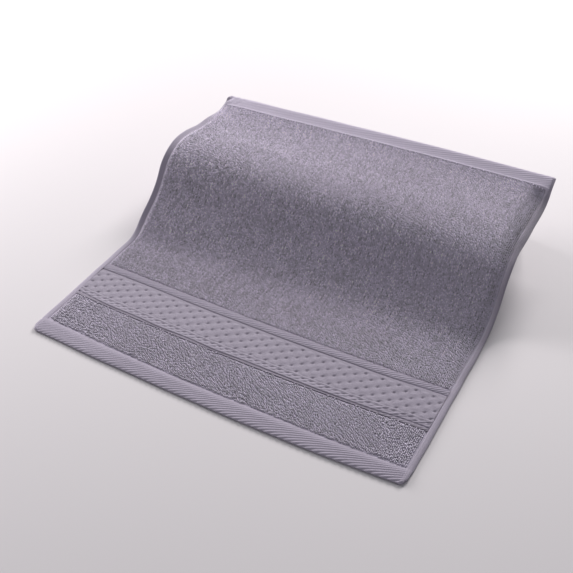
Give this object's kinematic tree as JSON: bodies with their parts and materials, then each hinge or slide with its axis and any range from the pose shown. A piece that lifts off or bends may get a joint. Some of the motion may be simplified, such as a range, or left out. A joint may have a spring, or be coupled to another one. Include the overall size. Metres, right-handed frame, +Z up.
{
  "type": "face towel draped over a low display step",
  "caption": "Square terry face towel with hems and a dimpled flat-woven border, half lying flat and half draped up over a plain low display step.",
  "frame": {"origin": "on the surface, under the middle of the towel's outline seen from above", "axes": "+Z up; +X to the right along the front hem; +Y from the front hem, which lies flat, to the back hem on the step"},
  "size_m": [0.34, 0.3332, 0.0724],
  "materials": {
    "terry_cotton": "matte looped cotton, grey mauve",
    "painted_step": "plain off-white satin paint"
  },
  "bodies": {
    "root": {"towel": "terry_cotton", "step": "painted_step"}
  },
  "joints": []
}
